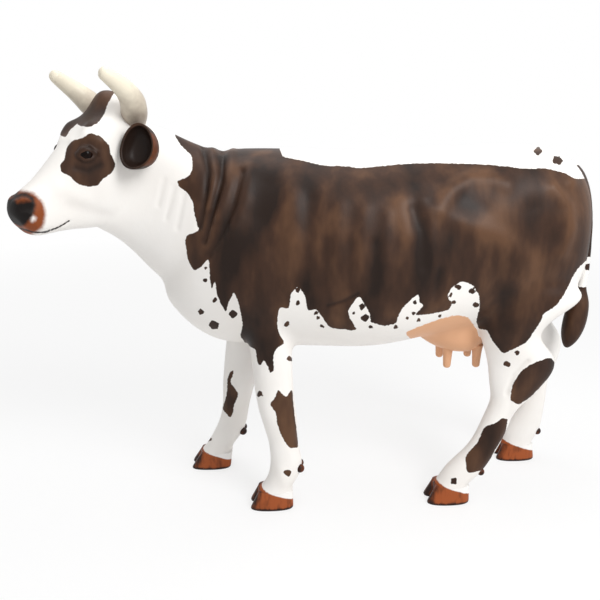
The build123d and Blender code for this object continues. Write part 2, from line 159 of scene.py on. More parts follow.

# Modelled relief: a line of pixels, its half width in pixels, its height in mm and how much painted shade darkens
# it (negative: a painted highlight lightens it)
BODY_RELIEF = (
    (((203, 146), (208, 170), (206, 195), (199, 228)), 2.8, -9, 0.8),
    (((223, 148), (221, 180), (212, 212), (204, 242)), 3.0, -11, 0.9),
    (((242, 172), (233, 205), (221, 235), (209, 255)), 3.6, -9, 0.7),
    (((212, 148), (215, 175), (209, 208)), 4.0, 7, -0.5),
    (((232, 152), (229, 185), (218, 218)), 4.5, 7, -0.4),
    (((250, 165), (245, 200), (232, 235)), 6.0, 5, -0.3),
    (((174, 188), (166, 218)), 2.8, -3, 0.12),
    (((184, 195), (177, 228)), 2.8, -3, 0.12),
    (((164, 180), (158, 205)), 2.8, -2.5, 0.1),
    (((288, 165), (292, 200), (294, 240)), 11.0, 7, -0.7),
    (((266, 185), (259, 215)), 13.0, -8, 0.7),
    (((238, 250), (242, 290)), 26.0, 10, 0.3),
    (((262, 260), (266, 320)), 10.0, 6, -0.2),
    (((310, 200), (308, 250), (305, 285)), 9.0, -6, 0.5),
    (((438, 208), (453, 190), (470, 178), (492, 179), (506, 184)), 9.0, 9, -0.6),
    (((467, 199), (482, 206)), 12.0, -5, 1.1),
    (((445, 215), (470, 226), (500, 238), (525, 258)), 11.0, 8, -0.5),
    (((538, 210), (548, 238)), 15.0, -9, 0.8),
    (((554, 188), (568, 206), (571, 228), (562, 252)), 6.5, 8, -0.6),
    (((572, 182),), 6.0, 7, -0.4),
    (((413, 210), (421, 230), (424, 266)), 6.5, -5, 0.6),
    (((424, 200), (433, 225), (434, 264)), 7.5, 6, -0.5),
    (((402, 204), (407, 236)), 9.0, 5, -0.6),
    (((340, 205), (336, 260)), 8.0, 4, -0.3),
    (((365, 210), (360, 270)), 8.0, 4, -0.3),
    (((388, 215), (386, 278)), 7.0, 4, -0.3),
    (((326, 240), (323, 285)), 7.0, -4, 0.6),
    (((351, 245), (349, 288)), 6.0, -4, 0.5),
    (((376, 245), (373, 292)), 6.0, -4, 0.4),
    (((440, 270), (437, 300)), 5.0, -4, 0.4),
    (((328, 306), (345, 301), (358, 294)), 1.8, -4, 0.7),
    (((508, 298), (512, 326)), 9.0, -3, 0.5),
    (((533, 285), (531, 292)), 6.0, -3, 0.5),
    (((492, 250), (497, 285)), 10.0, -5, 0.2),
    (((520, 280), (524, 310)), 14.0, 6, -0.2),
    # Broad painted shade over the flank and the shoulder, and a broad painted highlight on the rump, with no
    # relief
    (((325, 215), (395, 240)), 42.0, 0, 0.45),
    (((236, 220), (250, 310)), 26.0, 0, 0.4),
    (((500, 215), (545, 255)), 36.0, 0, -0.35),
)
# Same columns; the last one is painted shade, negative for a painted highlight
LEG_RELIEF = (
    (((507, 394), (514, 376), (528, 362)), 2.4, -7, 0.5),
    (((512, 402), (508, 418)), 4.0, -4, 0.2),
    (((264, 410), (266, 430)), 9.0, 5, 0.0),
    (((280, 470), (284, 482)), 5.0, 4, 0.0),
)
# Same columns; the last one is painted shade, negative for a painted highlight
HEAD_RELIEF = (
    (((77, 154), (82, 149.5), (89, 148.5), (96, 153)), 2.2, 5, 0.6),
    (((78, 157), (85, 161), (92, 160), (97, 155)), 2.2, 5, 0.4),
    (((76, 168), (88, 171), (101, 165)), 3.4, -2, 0.7),
    (((74, 143), (86, 139), (101, 143)), 5.0, 6, -0.4),
    (MOUTH_LINE, 1.5, -3, 0.2),
    (((24, 237), (45, 239)), 4.0, 3, 0.0),
    (((20, 210), (27, 207)), 3.2, -9, 0.6),
    (((14, 203), (24, 199.5), (33, 203)), 2.4, 6, 0.0),
    (((30, 214), (25, 220)), 3.0, 3, 0.0),
    (((112, 198),), 20.0, 6, 0.0),
    (((60, 188), (84, 198)), 8.0, 4, 0.0),
    (((70, 205), (110, 216)), 6.0, -3, 0.3),
)

# Forms of the skull in the head's frame: along, left, reach along, reach to the side, rise, in metres
HEAD_FORMS = (
    (0.025, 0.0, 0.055, 0.070, 0.032),
    (0.170, 0.085, 0.045, 0.040, 0.020),
    (0.460, 0.0, 0.050, 0.060, -0.010),
)

# Horns in the head's frame, left side: along, left, out, radius, in metres
HORN_ROWS = (
    (0.022, 0.066, -0.072, 0.046),
    (0.018, 0.110, -0.036, 0.045),
    (0.018, 0.142, 0.008, 0.042),
    (0.028, 0.158, 0.054, 0.035),
    (0.044, 0.163, 0.096, 0.029),
    (0.059, 0.162, 0.128, 0.024),
    (0.067, 0.159, 0.144, 0.020),
    (0.071, 0.157, 0.151, 0.014),
    (0.073, 0.156, 0.154, 0.005),
)
# Ears in the head's frame, left side: along, left, out, half height, half width, in metres
EAR_OUTSIDE = (
    (0.090, 0.080, -0.115, 0.034, 0.028),
    (0.088, 0.125, -0.125, 0.044, 0.036),
    (0.088, 0.160, -0.130, 0.060, 0.048),
    (0.100, 0.184, -0.118, 0.072, 0.058),
    (0.122, 0.200, -0.096, 0.077, 0.061),
    (0.125, 0.2025, -0.093, 0.074, 0.058),
)
EAR_INSIDE = (
    (0.123, 0.2005, -0.095, 0.069, 0.053),
    (0.113, 0.194, -0.106, 0.062, 0.047),
    (0.103, 0.186, -0.119, 0.046, 0.035),
    (0.098, 0.182, -0.125, 0.020, 0.015),
)
EAR_FACING = (0.574, 0.456, 0.680)
EAR_UP = (-0.80, -0.01, 0.59)
EYE_PLACE = (0.240, 0.092, -0.048)
EYE_RADIUS = 0.025
SIDES = {"left": 1, "right": -1}

# The far cheek: the share that it is narrower by, where along the head and over what reach, in metres
FAR_CHEEK = (0.24, 0.25, 0.065)
SOCKET_DEPTH = 0.012

# The snout in the head's frame, in metres; its rim lies back from its tip by the curve
SNOUT_START = 0.44
SNOUT_TIP = 0.538
SNOUT_CURVE = 0.050
SNOUT_CENTRE = -0.115
SNOUT_HALF_WIDTH = 0.090
SNOUT_HALF_HEIGHT = 0.084

# Hoof from coronet to sole: share of its height, half length, half width, in metres
HOOF_ROWS = (
    (1.0, 0.0675, 0.0545),
    (0.9, 0.0685, 0.0552),
    (0.55, 0.075, 0.058),
    (0.12, 0.083, 0.062),
    (0.0, 0.081, 0.060),
)
# The core that both claws stand on, in the same way
HOOF_CORE = ((1.04, 0.066, 0.053), (0.9, 0.068, 0.055), (0.3, 0.054, 0.045))
SOLE_CLEARANCE = 0.0005
# Edge of the hair around a hoof: its height over the toe in mm, and its fall towards the heel
HAIR_LINE_AT_TOE = 100
HAIR_LINE_FALL = 0.36

# Teat from root to tip: share of its length, radius, in metres
TEAT_ROWS = ((0.0, 0.024), (0.3, 0.019), (0.7, 0.016), (0.9, 0.0145), (0.97, 0.010), (1.0, 0.003))
TEAT_INSET = 0.021
TEAT_SUNK = 0.03

# Each kind of paint is kept as the distance to its edge in mm, negative where it covers
PAINTS = ("coat", "nose", "rust", "mouth", "flesh", "hoof")
UNPAINTED = 90.0
PAINTED = -40.0

# Smoothing of the skin: reach in metres, and rounds
JOINT_REACH, JOINT_ROUNDS = 0.075, 60
THROAT_REACH, THROAT_ROUNDS = 0.06, 40
SNOUT_ROUNDS, SNOUT_RIM_ROUNDS = 40, 25

# Stage: lamps with name, place, size in metres and power in watts, the room's light and the floor
LAMPS = (("key", (2.2, -3.0, 4.0), 2.2, 170), ("sky", (-0.6, 0.4, 4.5), 3.0, 60))
LAMPS_AIM = (0, 0, 0.9)
ROOM_LIGHT = 0.52
WHITE = (1, 1, 1, 1)
FLOOR_REACH = 30.0
FLOOR_FADE_FROM, FLOOR_FADE_TO = 2.0, 6.0
FLOOR_WHITE_NEAR, FLOOR_WHITE_FAR = 0.72, 1.0


def linear(hex_colour):
    """Linear RGBA of an sRGB hex colour."""
    channels = [int(hex_colour[i : i + 2], 16) / 255 for i in (1, 3, 5)]
    return (*(c / 12.92 if c <= 0.04045 else ((c + 0.055) / 1.055) ** 2.4 for c in channels), 1.0)


def cells(size_mm):
    """Scale of a pattern whose marks are about so many millimetres wide."""
    return 1000 / size_mm


def add_node(tree, kind, inputs=None, **settings):
    """Adds a node, sets its properties and links or sets its inputs."""
    node = tree.nodes.new(kind)
    for name, value in settings.items():
        setattr(node, name, value)
    for name, value in (inputs or {}).items():
        socket = node.inputs[name]
        if isinstance(value, bpy.types.NodeSocket):
            tree.links.new(value, socket)
        else:
            socket.default_value = value
    return node


def view_axes():
    """Right, up and forward of the photograph's view."""
    level = math.cos(VIEW_PITCH)
    forward = np.array((math.sin(VIEW_YAW) * level, math.cos(VIEW_YAW) * level, -math.sin(VIEW_PITCH)))
    right = np.array((math.cos(VIEW_YAW), -math.sin(VIEW_YAW), 0.0))
    return right, np.cross(right, forward), forward


def photo_pixels(points):
    """Where points of the figure fall on the photograph, and how many millimetres a pixel covers there."""
    right, up, forward = view_axes()
    away = points - np.array(EYE_POINT)
    depth = away @ forward
    half = PHOTO_SIDE / 2
    pixels = np.stack((half + PHOTO_FOCAL * (away @ right) / depth, half - PHOTO_FOCAL * (away @ up) / depth), 1)
    return pixels, depth / PHOTO_FOCAL * 1000


def head_axes():
    """Along the face, to the animal's left and out of the forehead."""
    turned = np.array((-math.cos(HEAD_TURN), -math.sin(HEAD_TURN), 0.0))
    lift = np.array((0.0, 0.0, 1.0))
    along = turned * math.cos(FACE_SLOPE) - lift * math.sin(FACE_SLOPE)
    out = turned * math.sin(FACE_SLOPE) + lift * math.cos(FACE_SLOPE)
    return np.stack((along, np.cross(out, along), out))


def to_head(points):
    """Points of the figure in the head's frame."""
    return (points - np.array(POLL)) @ head_axes().T


def from_head(points):
    """Points of the head's frame in the figure."""
    return np.asarray(points, float) @ head_axes() + np.array(POLL)


def rounded(outline, rounds=2):
    """A closed outline with its corners cut into curves."""
    points = np.array(outline, float)
    for _ in range(rounds):
        ahead = np.roll(points, -1, 0)
        points = np.stack((points * 0.86 + ahead * 0.14, points * 0.14 + ahead * 0.86), 1).reshape(-1, 2)
    return points


def distance_to_outline(pixels, outline):
    """Signed distance in pixels, negative inside."""
    best = np.full(len(pixels), 1e9)
    inside = np.zeros(len(pixels), bool)
    for start, end in zip(outline, np.roll(outline, -1, 0)):
        edge = end - start
        share = np.clip(((pixels - start) @ edge) / (edge @ edge + 1e-12), 0, 1)
        best = np.minimum(best, np.linalg.norm(pixels - start - share[:, None] * edge, axis=1))
        crosses = (start[1] > pixels[:, 1]) != (end[1] > pixels[:, 1])
        slope = (pixels[:, 1] - start[1]) * edge[0] / (edge[1] if edge[1] else 1e-12) + start[0]
        inside ^= crosses & (pixels[:, 0] < slope)
    return np.where(inside, -best, best)


def distance_to_line(pixels, line):
    """Distance in pixels to an open line."""
    line = np.array(line, float)
    best = np.full(len(pixels), 1e9)
    for start, end in zip(line[:-1], line[1:]):
        edge = end - start
        share = np.clip(((pixels - start) @ edge) / (edge @ edge), 0, 1)
        best = np.minimum(best, np.linalg.norm(pixels - start - share[:, None] * edge, axis=1))
    return best


def coat_distance(pixels, outlines, spots):
    """Signed distance in pixels to the nearest brown patch or spot."""
    best = np.full(len(pixels), 60.0)
    for outline in outlines:
        best = np.minimum(best, distance_to_outline(pixels, rounded(outline)))
    across, down = pixels.T
    across, down = across + 0.5 * np.sin(0.9 * down + 0.5 * across), down + 0.5 * np.sin(1.0 * across - 0.4 * down)
    for place, (x, y, radius) in enumerate(spots):
        lean = math.sin(5.1 * place)
        aside, low = across - x, down - y
        best = np.minimum(best, np.hypot(aside + lean * 0.5 * low, low - lean * 0.3 * aside) - radius)
    return best


def smoothstep(low, high, value):
    """Soft step from nought at one value to one at the other."""
    share = np.clip((value - low) / (high - low), 0, 1)
    return share * share * (3 - 2 * share)


class Skin:
    """The whole outer skin as arrays, before it is parted into its mouldings."""

    def __init__(self, mesh):
        count = len(mesh.vertices)
        points = np.empty(count * 3)
        mesh.vertices.foreach_get("co", points)
        self.points = points.reshape(-1, 3)
        edges = np.empty(len(mesh.edges) * 2, int)
        mesh.edges.foreach_get("vertices", edges)
        self.edges = edges.reshape(-1, 2)
        self.faces = [tuple(face.vertices) for face in mesh.polygons]
        self.degree = np.bincount(self.edges.ravel(), minlength=count).astype(float)

    def neighbour_mean(self):
        first, second = self.edges.T
        total = np.empty_like(self.points)
        for axis in range(3):
            total[:, axis] = np.bincount(first, self.points[second, axis], len(self.points))
            total[:, axis] += np.bincount(second, self.points[first, axis], len(self.points))
        return total / np.maximum(self.degree, 1)[:, None]

    def smooth(self, weight, rounds, pull=0.5):
        for _ in range(rounds):
            self.points += (self.neighbour_mean() - self.points) * (weight * pull)[:, None]

    def normals(self):
        mesh = bpy.data.meshes.new("skin_normals")
        mesh.from_pydata(self.points.tolist(), [], self.faces)
        result = np.empty(len(self.points) * 3)
        mesh.vertex_normals.foreach_get("vector", result)
        bpy.data.meshes.remove(mesh)
        return result.reshape(-1, 3)


def node_mesh(names):
    """Vertices and faces of some CAD nodes together."""
    points, faces = [], []
    for name in names:
        mesh = frame["nodes"][name].data
        start = len(points)
        points += [tuple(v.co) for v in mesh.vertices]
        faces += [tuple(i + start for i in face.vertices) for face in mesh.polygons]
    return points, faces


def plug_sockets(points, faces, half=0.016):
    """Small blocks that close the threaded sockets in the feet."""
    for mount in frame["record"]["mounts"]:
        if mount["kind"] != "threaded_hole":
            continue
        x, y, _ = mount["pos_m"]
        start = len(points)
        corners = [(a, b, c) for a in (-1, 1) for b in (-1, 1) for c in (0, 1)]
        points += [(x + half * a, y + half * b, 0.001 + 0.02 * c) for a, b, c in corners]
        sides = ((0, 1, 3, 2), (4, 6, 7, 5), (0, 4, 5, 1), (2, 3, 7, 6), (0, 2, 6, 4), (1, 5, 7, 3))
        faces += [tuple(i + start for i in side) for side in sides]


def remeshed_skin(voxel):
    """One skin over all the outer mouldings, without the hollows inside."""
    points, faces = node_mesh([*SKIN_GROUPS, *FILLERS])
    plug_sockets(points, faces)
    mesh = bpy.data.meshes.new("skin_source")
    mesh.from_pydata(points, [], faces)
    source = bpy.data.objects.new("skin_source", mesh)
    bpy.context.scene.collection.objects.link(source)
    remesh = source.modifiers.new("remesh", "REMESH")
    remesh.mode = "VOXEL"
    remesh.voxel_size = voxel
    bpy.context.view_layer.update()
    done = bpy.data.meshes.new_from_object(source.evaluated_get(bpy.context.evaluated_depsgraph_get()))
    bpy.data.objects.remove(source)
    bm = bmesh.new()
    bm.from_mesh(done)
    bm.verts.ensure_lookup_table()
    seed = max(bm.verts, key=lambda v: v.co.z)
    kept = {seed}
    edge_of_search = [seed]
    while edge_of_search:
        vert = edge_of_search.pop()
        for edge in vert.link_edges:
            other = edge.other_vert(vert)
            if other not in kept:
                kept.add(other)
                edge_of_search.append(other)
    bmesh.ops.delete(bm, geom=[v for v in bm.verts if v not in kept], context="VERTS")
    geometry = [*bm.verts, *bm.edges, *bm.faces]
    bmesh.ops.bisect_plane(bm, geom=geometry, plane_co=(0, 0, HOOF_TOP), plane_no=(0, 0, -1), clear_outer=True)
    along, left, out = to_head(np.array([v.co for v in bm.verts])).T
    face = (along > 0.12) & (np.abs(left) < 0.2) & (out > -0.4)
    bm.verts.index_update()
    fine = [e for e in bm.edges if face[e.verts[0].index] and face[e.verts[1].index]]
    bmesh.ops.subdivide_edges(bm, edges=fine, cuts=1, use_grid_fill=True)
    bm.to_mesh(done)
    bm.free()
    return done


def node_distances(points, names, reach=0.09):
    """Distance of each point to each CAD node, where it is near."""
    result = {}
    for name in names:
        mesh = frame["nodes"][name].data
        tree = BVHTree.FromPolygons([v.co for v in mesh.vertices], [tuple(f.vertices) for f in mesh.polygons])
        low, high = (np.array(corner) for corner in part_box(name))
        near = np.all((points > low - reach) & (points < high + reach), 1)
        gaps = np.full(len(points), 9.0)
        for index in np.flatnonzero(near):
            gaps[index] = tree.find_nearest(points[index])[3]
        result[name] = gaps
    return result


def make_piece(name, points, faces, material, replaced, attributes=None, normals=None):
    """A finished mesh piece that rides on the figure and stands for its CAD nodes."""
    mesh = bpy.data.meshes.new(name)
    mesh.from_pydata([tuple(p) for p in points], [], faces)
    for key, values in (attributes or {}).items():
        layer = mesh.attributes.new(key, "FLOAT", "POINT")
        layer.data.foreach_set("value", np.asarray(values, np.float32))
    mesh.shade_smooth()
    if normals is not None:
        mesh.normals_split_custom_set_from_vertices([tuple(n) for n in normals])
    mesh.materials.append(material)
    piece = bpy.data.objects.new(name, mesh)
    bpy.context.scene.collection.objects.link(piece)
    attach(piece, "root")
    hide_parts(*replaced)
    return piece


def mirrored(points):
    """The same points on the animal's left side."""
    left = points.copy()
    left[:, 1] = np.minimum(left[:, 1], 2 * MEDIAN_Y - left[:, 1])
    return left


def mirrored_head(points):
    """The same points on the left half of the head."""
    local = to_head(points)
    local[:, 1] = np.abs(local[:, 1])
    return from_head(local)


def far_side_share(along):
    """How much narrower the far cheek is, so that the face hides its eye as in the photograph."""
    share, middle, reach = FAR_CHEEK
    return 1 - share * np.exp(-(((along - middle) / reach) ** 2))


def eye_centre(sign):
    """Middle of the left (1) or right (-1) eyeball."""
    along, left, out = EYE_PLACE
    return from_head((along, sign * left * (far_side_share(along) if sign < 0 else 1), out))


def relief(place, turned, lines):
    """Height in mm and painted shade (negative: a painted highlight) that modelled lines give to points, where
    they face the viewer.
    """
    pixels, _ = photo_pixels(place)
    to_viewer = np.array(EYE_POINT) - place
    facing = np.sum(turned * to_viewer, 1) / np.linalg.norm(to_viewer, axis=1)
    shown = smoothstep(-0.05, 0.3, facing)
    height, shade = np.zeros(len(place)), np.zeros(len(place))
    for line, width, rise, dark in lines:
        line = line if len(line) > 1 else (line[0], (line[0][0] + 0.1, line[0][1]))
        weight = np.exp(-((distance_to_line(pixels, line) / width) ** 2)) * shown
        height += rise * weight
        shade += dark * weight
    return height, shade


def model_relief(skin, owner, strength):
    """Presses folds, bones and hollows into the skin, and says where painted shade darkens them and painted
    highlights lighten them.
    """
    normals = skin.normals()
    height, shade = np.zeros(len(skin.points)), np.zeros(len(skin.points))
    body = np.isin(owner, ("trunk", "neck"))
    side = mirrored(skin.points)
    flipped = np.where((skin.points[:, 1] > MEDIAN_Y)[:, None], normals * (1, -1, 1), normals)
    left_legs = np.isin(owner, ("leg_front_left", "leg_hind_left"))
    face = mirrored_head(skin.points)
    local = normals @ head_axes().T
    local[to_head(skin.points)[:, 1] < 0, 1] *= -1
    head_normals = local @ head_axes()
    groups = (
        (body, side, flipped, BODY_RELIEF),
        (left_legs, skin.points, normals, BODY_RELIEF + LEG_RELIEF),
        (owner == "head", face, head_normals, HEAD_RELIEF),
    )
    for chosen, place, turned, lines in groups:
        more, darker = relief(place[chosen], turned[chosen], lines)
        height[chosen] += more
        shade[chosen] += darker
    skin.points += normals * (height * strength / 1000)[:, None]
    head = owner == "head"
    local = to_head(skin.points)
    for along, left, reach_along, reach_left, rise in HEAD_FORMS:
        for sign in (1, -1) if left else (1,):
            ahead = (local[:, 0] - along) / reach_along
            aside = (local[:, 1] - sign * left) / reach_left
            weight = np.exp(-(ahead**2) - aside**2)
            top = smoothstep(-0.10, -0.03, local[:, 2]) if rise > 0 else 1 - smoothstep(-0.17, -0.12, local[:, 2])
            local[:, 2] += rise * weight * top * head
    far = head & (local[:, 1] < 0)
    local[far, 1] *= far_side_share(local[far, 0])
    radius = np.hypot(local[:, 1] / SNOUT_HALF_WIDTH, (local[:, 2] - SNOUT_CENTRE) / SNOUT_HALF_HEIGHT)
    snout = head & (local[:, 0] > SNOUT_START)
    local[snout, 0] = np.minimum(local[snout, 0], SNOUT_TIP - SNOUT_CURVE * radius[snout] ** 3)
    skin.points[head] = from_head(local[head])
    skin.smooth(snout * smoothstep(SNOUT_START, 0.48, local[:, 0]), SNOUT_RIM_ROUNDS)
    for sign in SIDES.values():
        out = head_axes()[1] * sign
        near = np.linalg.norm(skin.points - eye_centre(sign), axis=1)
        sink = (1 - smoothstep(EYE_RADIUS * 0.6, EYE_RADIUS * 1.15, near)) * head
        skin.points -= out * (sink * SOCKET_DEPTH)[:, None]
    return shade


def above_hair_line(points, toe):
    """Height in mm over the slanting edge of the hair around a hoof."""
    return points[:, 2] * 1000 - (HAIR_LINE_AT_TOE - (points[:, 0] - toe) * 1000 * HAIR_LINE_FALL)


def paint_layers(points, owner):
    """Paint masks for every point of the skin."""
    coat, nose, rust, mouth, flesh, hoof = layers = [np.full(len(points), UNPAINTED) for _ in PAINTS]

    def lay(chosen, place, outlines, spots):
        pixels, scale = photo_pixels(place[chosen])
        coat[chosen] = np.minimum(coat[chosen], coat_distance(pixels, outlines, spots) * scale)

    body = np.isin(owner, ("trunk", "neck", "udder"))
    left_legs = np.isin(owner, ("leg_front_left", "leg_hind_left"))
    right_legs = np.isin(owner, ("leg_front_right", "leg_hind_right"))
    side = mirrored(points)
    lay(body | right_legs, side, (FLANK_PATCH,), FLANK_SPOTS)
    lay(left_legs, points, (FLANK_PATCH,), ())
    lay(owner == "leg_front_left", points, (FRONT_LEFT_PATCH,), FRONT_LEFT_SPOTS)
    lay(owner == "leg_front_right", points, (FRONT_RIGHT_PATCH,), FRONT_RIGHT_SPOTS)
    lay(owner == "leg_hind_left", points, (HOCK_PATCH, CANNON_PATCH), HIND_LEFT_SPOTS)
    lay(owner == "leg_hind_right", points, (), HIND_RIGHT_SPOTS)
    lay(owner == "tail", side, (TAIL_UPPER_PATCH,), TAIL_SPOTS)
    coat[owner == "switch"] = PAINTED
    head = owner == "head"
    face = mirrored_head(points)
    lay(head, face, (EYE_PATCH,), ())
    lay(head, points, (POLL_PATCH, FAR_EYE_PATCH), ())
    pixels, scale = photo_pixels(face[head])
    nose[head] = distance_to_outline(pixels, rounded(NOSE_PATCH)) * scale
    # Painted highlight: the black gives way to the rust along the top of the nose
    nose[head] = np.maximum(nose[head], -0.6 * distance_to_outline(pixels, rounded(NOSE_TOP_HIGHLIGHT)) * scale - 2)
    rust[head] = distance_to_outline(pixels, rounded(RUST_PATCH)) * scale
    rust[head] = np.maximum(rust[head], -distance_to_outline(pixels, rounded(NOSE_LIGHT)) * scale)
    mouth[head] = distance_to_line(pixels, MOUTH_LINE) * scale - 2.5
    pixels, scale = photo_pixels(side[body])
    flesh[body] = distance_to_outline(pixels, rounded(UDDER_PATCH)) * scale
    flesh[owner == "udder"] = PAINTED
    for leg in LEGS:
        chosen = owner == f"leg_{leg}"
        hoof[chosen] = above_hair_line(points[chosen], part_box(f"hoof_{leg}")[0].x)
    return dict(zip(PAINTS, layers))


def painted_skin(settings):
    """Polyester gel coat, spray-painted white, brushed brown by hand and varnished to a satin gloss; painted shade
    dulls the white and darkens the brown in folds and hollows, and painted highlights lighten the brown on ridges.
    """
    material = bpy.data.materials.new("painted_glass_fibre")
    material.use_nodes = True
    tree = material.node_tree
    shader = tree.nodes["Principled BSDF"]
    place = add_node(tree, "ShaderNodeTexCoord").outputs["Object"]
    ragged = add_node(tree, "ShaderNodeTexNoise", {"Vector": place, "Scale": cells(11), "Detail": 2.0})
    masks = {}
    softness = {"coat": 1.2, "nose": 8.0, "rust": 9.0, "mouth": 1.5, "flesh": 2.0, "hoof": 2.5}
    for name, soft in softness.items():
        distance = add_node(tree, "ShaderNodeAttribute", attribute_name=name).outputs["Fac"]
        shifted = add_node(
            tree, "ShaderNodeMath", {0: ragged.outputs["Fac"], 1: 7.0, 2: distance}, operation="MULTIPLY_ADD"
        )
        masks[name] = add_node(
            tree,
            "ShaderNodeMapRange",
            {
                "Value": shifted.outputs[0],
                "From Min": 3.5 - soft,
                "From Max": 3.5 + soft,
                "To Min": 1.0,
                "To Max": 0.0,
            },
            interpolation_type="SMOOTHSTEP",
        ).outputs["Result"]
    streaks = add_node(tree, "ShaderNodeMapping", {"Vector": place, "Scale": (1.0, 1.0, 0.4)}).outputs["Vector"]
    clouds = add_node(
        tree, "ShaderNodeTexNoise", {"Vector": streaks, "Scale": cells(110), "Detail": 3.0, "Roughness": 0.5}
    )
    # The shade attribute holds painted shade in folds and hollows, negative for a painted highlight on ridges: it
    # darkens the brown and dulls the white
    painted_shade_and_highlight = add_node(tree, "ShaderNodeAttribute", attribute_name="shade").outputs["Fac"]
    depth = add_node(
        tree, "ShaderNodeMath", {0: painted_shade_and_highlight, 1: -0.2, 2: clouds.outputs["Fac"]}, operation="MULTIPLY_ADD"
    ).outputs[0]
    brown = add_node(tree, "ShaderNodeValToRGB", {"Fac": depth})
    ramp = brown.color_ramp
    ramp.elements[0].position, ramp.elements[0].color = 0.3, settings.brown_dark
    ramp.elements[1].position, ramp.elements[1].color = 0.72, settings.brown_light
    middle = ramp.elements.new(0.5)
    middle.color = settings.brown
    tint = add_node(tree, "ShaderNodeTexNoise", {"Vector": place, "Scale": cells(200), "Detail": 3.0})
    white = add_node(
        tree,
        "ShaderNodeMix",
        {"Factor": tint.outputs["Fac"], "A": settings.white, "B": settings.white_shade},
        data_type="RGBA",
    ).outputs["Result"]
    shade_on_white = add_node(tree, "ShaderNodeMath", {0: painted_shade_and_highlight, 1: 0.5}, operation="MULTIPLY", use_clamp=True).outputs[0]
    colour = white
    layers = (
        (shade_on_white, settings.white_in_painted_shade),
        (masks["flesh"], settings.flesh),
        (masks["coat"], brown.outputs["Color"]),
        (masks["hoof"], settings.hoof),
        (masks["rust"], settings.rust),
        (masks["nose"], settings.nose),
        (masks["mouth"], settings.brown_dark),
    )
    for mask, paint in layers:
        colour = add_node(
            tree, "ShaderNodeMix", {"Factor": mask, "A": colour, "B": paint}, data_type="RGBA"
        ).outputs["Result"]
    tree.links.new(colour, shader.inputs["Base Color"])
    sheen = add_node(tree, "ShaderNodeMapRange", {"Value": masks["nose"], "To Min": 0.46, "To Max": 0.55})
    tree.links.new(sheen.outputs["Result"], shader.inputs["Roughness"])
    shader.inputs["Specular IOR Level"].default_value = 0.18
    # Bristle marks are about 1 mm wide; they are drawn at 6 mm so that they show from a few steps away
    brush = add_node(tree, "ShaderNodeTexNoise", {"Vector": streaks, "Scale": cells(6), "Detail": 3.0})
    bump = add_node(tree, "ShaderNodeBump", {"Height": brush.outputs["Fac"], "Strength": 0.15, "Distance": 0.002})
    tree.links.new(bump.outputs["Normal"], shader.inputs["Normal"])
    return material


def mottled(name, shades, mark_mm, roughness, metallic=0.0, stretch=(1.0, 1.0, 1.0)):
    """A surface of two close shades in clouds or grain, with the same grain in its sheen and bump."""
    material = plain(name, shades[0], roughness, metallic)
    tree = material.node_tree
    shader = tree.nodes["Principled BSDF"]
    place = add_node(tree, "ShaderNodeTexCoord").outputs["Object"]
    drawn = add_node(tree, "ShaderNodeMapping", {"Vector": place, "Scale": stretch}).outputs["Vector"]
    marks = {"Vector": drawn, "Scale": cells(mark_mm), "Detail": 5.0}
    grain = add_node(tree, "ShaderNodeTexNoise", marks).outputs["Fac"]
    ramp = add_node(tree, "ShaderNodeValToRGB", {"Fac": grain})
    for element, place_on_ramp, shade in zip(ramp.color_ramp.elements, (0.35, 0.65), shades):
        element.position, element.color = place_on_ramp, linear(shade)
    sheen = add_node(
        tree, "ShaderNodeMapRange", {"Value": grain, "To Min": roughness - 0.08, "To Max": roughness + 0.1}
    ).outputs["Result"]
    ridges = {"Height": grain, "Strength": 0.2, "Distance": 0.001}
    bump = add_node(tree, "ShaderNodeBump", ridges).outputs["Normal"]
    for socket, value in (("Base Color", ramp.outputs["Color"]), ("Roughness", sheen), ("Normal", bump)):
        tree.links.new(value, shader.inputs[socket])
    return material


def horn_paint(settings):
    """Ivory paint, with painted shade darkening it at the root, and glossier than the coat."""
    material = plain("ivory_enamel", "#efe6d0", 0.35)
    tree = material.node_tree
    shader = tree.nodes["Principled BSDF"]
    place = add_node(tree, "ShaderNodeTexCoord").outputs["Object"]
    share = add_node(tree, "ShaderNodeAttribute", attribute_name="tip").outputs["Fac"]
    grain = add_node(tree, "ShaderNodeTexNoise", {"Vector": place, "Scale": cells(45), "Detail": 3.0})
    mixed = add_node(
        tree, "ShaderNodeMath", {0: grain.outputs["Fac"], 1: 0.35, 2: share}, operation="MULTIPLY_ADD"
    ).outputs[0]
    ramp = add_node(tree, "ShaderNodeValToRGB", {"Fac": mixed})
    # Painted shade at the root, fading into the ivory towards the tip
    ramp.color_ramp.elements[0].position, ramp.color_ramp.elements[0].color = 0.3, linear("#a89a8c")
    ramp.color_ramp.elements[1].position, ramp.color_ramp.elements[1].color = 0.62, settings.horn
    tree.links.new(ramp.outputs["Color"], shader.inputs["Base Color"])
    return material


